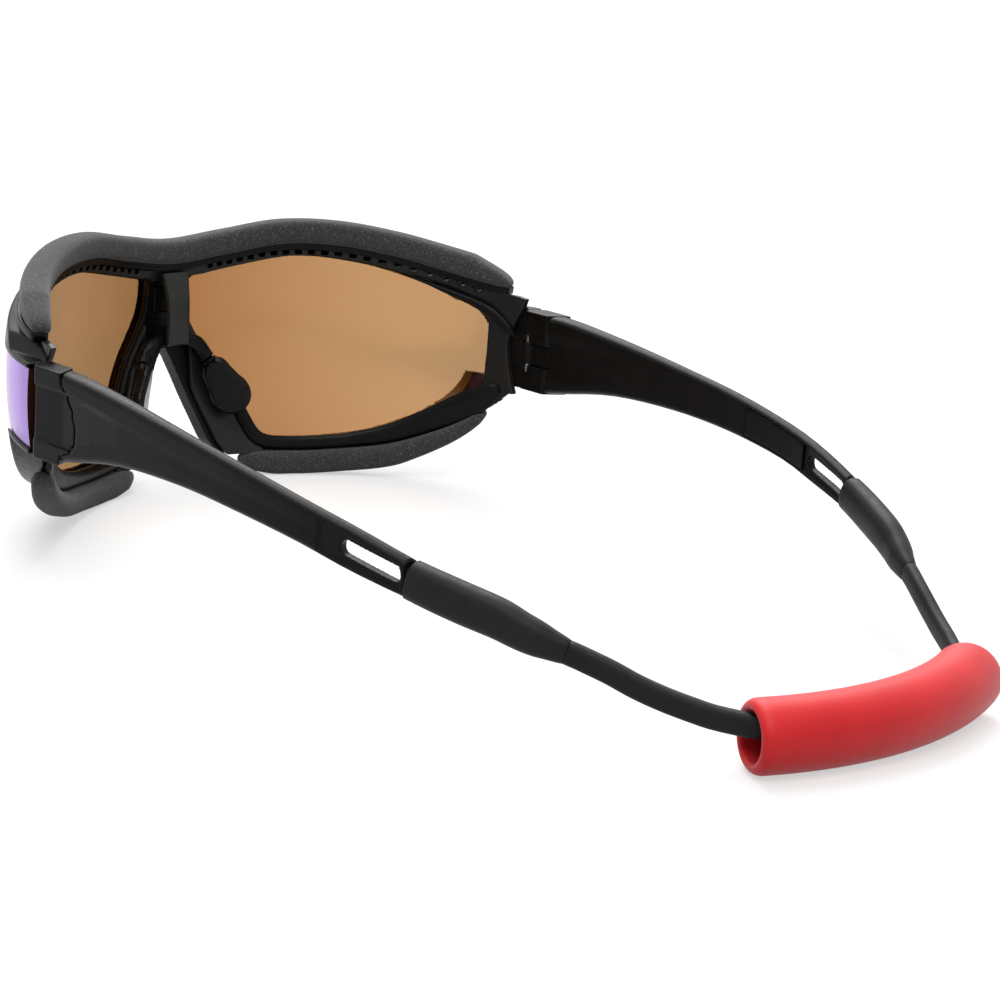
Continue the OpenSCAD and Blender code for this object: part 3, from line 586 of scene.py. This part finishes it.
# The edge bead: its height by place along the opening's outline, above and below the temple,
# how far it reaches past the opening, the radius that it lies on, and its depth
BEAD = {"upper": [(25, 0.8), (29, 1.8), (33, 3.0), (35, 3.0)],
        "lower": [(43, 6.4), (44, 7.2), (48, 6.6), (52, 4.6), (56, 3.3), (72, 3.2)]}
BEAD_EDGE = {"upper": 0.4, "lower": 1.4}
BEAD_R, BEAD_D = 63.5, 2.4

EYE = loop_through([(EYE_X0 + u * EYE_W, EYE_Z0 + v * EYE_H) for u, v in EYE_SHAPE], 4)


def eye_outline(d):
    """The opening's outline moved outward along the lens, in a front view."""
    out = []
    n = len(EYE)
    for i, p in enumerate(EYE):
        t = (EYE[(i + 1) % n] - EYE[i - 1]).normalized()
        q = p + (d[i] if isinstance(d, list) else d) * Vector((-t.y, t.x))
        flat = math.sqrt(LENS_R ** 2 - (q.y - LENS_C.z) ** 2)
        out.append(Vector((flat * math.sin(q.x / flat), q.y)))
    return out


def on_front(r, p):
    """The place of a front view's point on a sphere about the lens centre."""
    deep = math.sqrt(max(0, r * r - p.x ** 2 - (p.y - LENS_C.z) ** 2))
    return Vector((p.x, LENS_C.y + deep, p.y))


def on_ball(r, bearing, z):
    flat = math.sqrt(r * r - (z - LENS_C.z) ** 2)
    a = math.radians(bearing)
    return Vector((flat * math.sin(a), LENS_C.y + flat * math.cos(a), z))


def wedge(t, reach):
    """Share of the full section near an end of a foam strip."""
    near = min(t, 1 - t) / reach
    return 1.0 if near >= 1 else 0.3 + 0.7 * near ** 0.6


def make_brow_foam():
    half = [(b * EYE_END, h, 0) for b, h in BROW]
    line = curve_through([(-b, h, 0) for b, h, _ in reversed(half)] + [(0, BROW_DIP, 0)] + half, 12)
    path, outlines, seat_path, seat_outlines = [], [], [], []
    last = len(line) - 1
    for i, p in enumerate(line):
        f = wedge(i / last, 0.09)
        high = BROW_H * f - SEAT_SHOWS
        deep = FOAM_D * (0.3 + 0.7 * f)
        path.append(on_ball(FOAM_R, p.x, EYE_Z1 + p.y + SEAT_SHOWS + high / 2))
        outlines.append(oval(deep, high, 32, 0.62))
        seat_path.append(on_ball(FOAM_R, p.x, EYE_Z1 + p.y + SEAT_MID))
        seat_outlines.append(oval(deep - SEAT_LESS, SEAT_H, 24, 0.3))
    foam = dressed("foam_brow", lofted(path, outlines), MAT["foam"], "front")
    trim("brow_seat", lofted(seat_path, seat_outlines))


def make_cheek_foam():
    n = CHEEK_TURNS + len(CHEEK_NASAL)
    middle = []
    for i in range(n + 1):
        high = CHEEK_H * between(CHEEK_STATIONS, i / n)
        tall = high + SEAT + 0.5
        if i <= CHEEK_TURNS:
            p = eye_outline(RIM_W + SEAT + high - tall / 2)[CHEEK_FIRST + i]
        else:
            p = Vector((CHEEK_NASAL[i - CHEEK_TURNS - 1], CHEEK_H - high + tall / 2))
        middle.append((p.x, p.y, tall))
    fine = curve_through(middle, 4)
    last = len(fine) - 1
    path = [on_front(FOAM_R, Vector((p.x, p.y))) for p in fine]
    outlines = []
    for i, p in enumerate(fine):
        f = min(1, 0.35 + 0.65 * (min(i, last - i) / 4) ** 0.5)
        deep = FOAM_D * (0.4 + 0.6 * min(1, p.z / CHEEK_H))
        outlines.append(oval(deep * f, p.z * f, 32, 0.62))
    for name, side in SIDES.items():
        rings = lofted(mirrored(path, side), outlines)
        dressed("foam_cheek_" + name, rings, MAT["foam"], "front")


def make_beads():
    """The rounded edge of the foam carrier, toward the lens."""
    for where, stations in BEAD.items():
        first, last = stations[0][0], stations[-1][0]
        tall = [between(stations, i) for i in range(len(EYE))]
        line = eye_outline([BEAD_EDGE[where] - h / 2 for h in tall])
        path = [on_front(BEAD_R, line[i]) for i in range(first, last + 1)]
        outlines = []
        for i in range(first, last + 1):
            f = min(1, 0.3 + 0.7 * min(i - first, last - i) / 3)
            outlines.append(oval(BEAD_D * f, tall[i] * f, 24, 0.9))
        for name, side in SIDES.items():
            trim("rim_bead_" + where + "_" + name, lofted(mirrored(path, side), outlines))


# ---------------------------------------------------------------- sleeves
# The right temple at its hinge seam: x and y of its middle, z of its upper edge. Then its
# length and its height.
TEMPLE_X, TEMPLE_Y, TEMPLE_Z, TEMPLE_LEN, TEMPLE_H = 64.6636, 29, 41.5, 109, 18
# By shares of the length: drop of the upper edge, drop of the lower edge in shares of
# TEMPLE_H, and how far the temple bends inward
TEMPLE_TOP = [(0, 0), (0.064, 0.2), (0.156, 1.1), (0.248, 2.2), (0.385, 4.1), (0.523, 6.2),
              (0.66, 8.9), (0.752, 11.1), (0.844, 13.9), (1, 19)]
TEMPLE_LOW = [(0, 1), (0.064, 0.925), (0.156, 0.82), (0.248, 0.77), (0.385, 0.765),
              (0.523, 0.82), (0.66, 0.925), (0.752, 1.05), (0.844, 1.165), (1, 1.36)]
TEMPLE_BOW = [(0, 0), (0.15, 0), (0.3, 0), (0.41, 0.2), (0.523, 0.7), (0.66, 2.3),
              (0.752, 4.3), (0.844, 7), (0.92, 10), (1, 14)]
# The sleeve: thickness and height at its front, its way past the temple's end, and shares
# of thickness and height along it
SLEEVE_T, SLEEVE_H = 5, 7
SLEEVE_TAIL = [(-1.9, -3.9, -1.5), (-4, -7.3, -2.8), (-6, -10.7, -3.9)]
SLEEVE_FORM = [(0, 1, 1), (0.3, 1.05, 1.03), (0.5, 1.05, 1), (0.64, 1, 0.94), (0.78, 0.95, 0.86),
               (0.88, 0.78, 0.74), (1, STRAP_T / SLEEVE_T, STRAP_H / SLEEVE_H)]
# The rounded lip at the sleeve's front: its share of the section, and its length
LIP, LIP_LONG = 0.9, 0.25


def temple_mid(s):
    """Middle of a temple on the wearer's right, at a share of its length."""
    top = curve_through([(a, b, 0) for a, b in TEMPLE_TOP], 4)
    low = curve_through([(a, b * TEMPLE_H, 0) for a, b in TEMPLE_LOW], 4)
    bow = curve_through([(a, b, 0) for a, b in TEMPLE_BOW], 4)
    drop_top, drop_low, inward = (between(line, s) for line in (top, low, bow))
    return Vector((TEMPLE_X - inward, TEMPLE_Y - s * TEMPLE_LEN,
                   TEMPLE_Z - (drop_top + drop_low) / 2))


def make_sleeves():
    """Rubber sleeves that flow into the strap."""
    end = temple_mid(1)
    path = curve_through([temple_mid(0.8622), temple_mid(0.9), temple_mid(0.95), end]
                         + [end + Vector(t) for t in SLEEVE_TAIL], 8)
    form = curve_through(SLEEVE_FORM, 6)
    wide = [(p.x, p.y) for p in form]
    high = [(p.x, p.z) for p in form]
    last = len(path) - 1
    outlines = []
    for i in range(last + 1):
        share = LIP if i == 0 else 1
        outlines.append(oval(SLEEVE_T * between(wide, i / last) * share,
                             SLEEVE_H * between(high, i / last) * share, 32, 0.8))
    outlines.insert(1, [(q[0] / LIP, q[1] / LIP) for q in outlines[0]])
    path.insert(1, path[0] + LIP_LONG * (path[1] - path[0]).normalized())
    for name, side in SIDES.items():
        rings = lofted(mirrored(path, side), outlines)
        dressed("sleeve_" + name, rings, MAT["rubber"], name + "_temple")


# ---------------------------------------------------------------- bridge strip
STRIP_PATH = [(0, 82.5, 30.4), (0, 82.4, 35.4), (0, 82.6, 39.9), (0, 83.5, 43.7), (0, 84.3, 46.3)]
STRIP_W, STRIP_T, STRIP_BACK = 5.9, 1.5, 0.7
# How much wider the strip grows toward its top, how much narrower its waist is over the
# waist's share of the length, how much wider the cap is, and the share at which it starts
STRIP_FLARE, STRIP_WAIST, WAIST_LONG, CAP, CAP_FROM = 0.5, 0.7, 0.8, 0.6, 0.93


def make_strip():
    """The springy strip down to the nose piece, with a small cap at its top."""
    line = curve_through(STRIP_PATH, 8)
    last = len(line) - 1
    side = Vector((1, 0, 0))
    rings = []
    for i, p in enumerate(line):
        t = i / last
        ahead = (line[min(i + 1, last)] - line[max(i - 1, 0)]).normalized()
        up = ahead.cross(side)
        waist = STRIP_WAIST * math.sin(math.pi * min(1, t / WAIST_LONG))
        w = STRIP_W + STRIP_FLARE * t - waist + (CAP if t > CAP_FROM else 0)
        edge = 0.75 if i in (0, last) else 1
        rings.append([p - Vector((0, STRIP_BACK, 0)) + q[0] * side + q[1] * up
                      for q in oval(w * edge, STRIP_T * edge, 32, 0.3)])
    dressed("bridge_strip", rings, MAT["strip"], "front")


# ---------------------------------------------------------------- all pieces
moulded("front_frame", MAT["satin"], 0.26, 4, 0.5)
moulded("foam_carrier", MAT["carrier"], 0.17, 3, 0.5)
moulded("bridge_catch", MAT["satin"], 0.2, 4)
moulded("nose_saddle", MAT["satin"], 0.2, 6)
for name, side in SIDES.items():
    clear_pin(moulded("temple_" + name, MAT["temple"], 0.24, 8, 0.5), side)
    moulded("temple_liner_" + name, MAT["satin"], 0.12, 3)
    moulded("end_piece_" + name, MAT["satin"], 0.2, 4, 0.6)
    moulded("pad_core_" + name, MAT["satin"], 0.18, 4)
    fuller(moulded("pad_rubber_" + name, MAT["gloss"], 0.2, 12), side)
    make_lens(name)
    nodes["hinge_pin_" + name].data.materials.clear()
    nodes["hinge_pin_" + name].data.materials.append(MAT["steel"])

make_brow_foam()
make_cheek_foam()
make_beads()
make_strip()
make_sleeves()
make_straps()
make_float()


# ---------------------------------------------------------------- stage and light
# Half the floor's width in metres, its grey, and its glow where it is seen
FLOOR_HALF, FLOOR_GREY, FLOOR_GLOW = 6, 0.42, 0.56
# Strength of the world as a light, and where it is seen
WORLD_DIM, WORLD_BRIGHT = 0.34, 1.08
# Each sun's strength, the direction it comes from, and its width in degrees
SUNS = {"key": (1.1, (0.1, 0.3, 1.2), 32),
        "top": (1.3, (-0.5, -0.5, 1.15), 40),
        "back": (1.9, (0.6, 0.8, 1.0), 40)}


def make_stage():
    mesh = bpy.data.meshes.new("floor")
    h = FLOOR_HALF
    mesh.from_pydata([(-h, -h, 0), (h, -h, 0), (h, h, 0), (-h, h, 0)], [], [(0, 1, 2, 3)])
    mat, tree, bsdf = shader("floor_white", grey(FLOOR_GREY), 0.9, 0.0)
    bsdf.inputs["Emission Color"].default_value = (1, 1, 1, 1)
    tree.links.new(seen_glow(tree, 0, FLOOR_GLOW), bsdf.inputs["Emission Strength"])
    piece("floor", mesh, [mat])


def make_light():
    world = bpy.data.worlds.new("studio")
    world.use_nodes = True
    tree = world.node_tree
    backdrop = tree.nodes["Background"]
    backdrop.inputs["Color"].default_value = (1, 1, 1, 1)
    tree.links.new(seen_glow(tree, WORLD_DIM, WORLD_BRIGHT), backdrop.inputs["Strength"])
    bpy.context.scene.world = world
    for name, (energy, place, width) in SUNS.items():
        data = bpy.data.lights.new(name, "SUN")
        data.energy = energy
        data.angle = math.radians(width)
        obj = bpy.data.objects.new(name, data)
        bpy.context.scene.collection.objects.link(obj)
        obj.location = place
        obj.rotation_euler = (-Vector(place)).to_track_quat("-Z", "Y").to_euler()


make_stage()
make_light()
bpy.context.scene.view_settings.view_transform = "Standard"
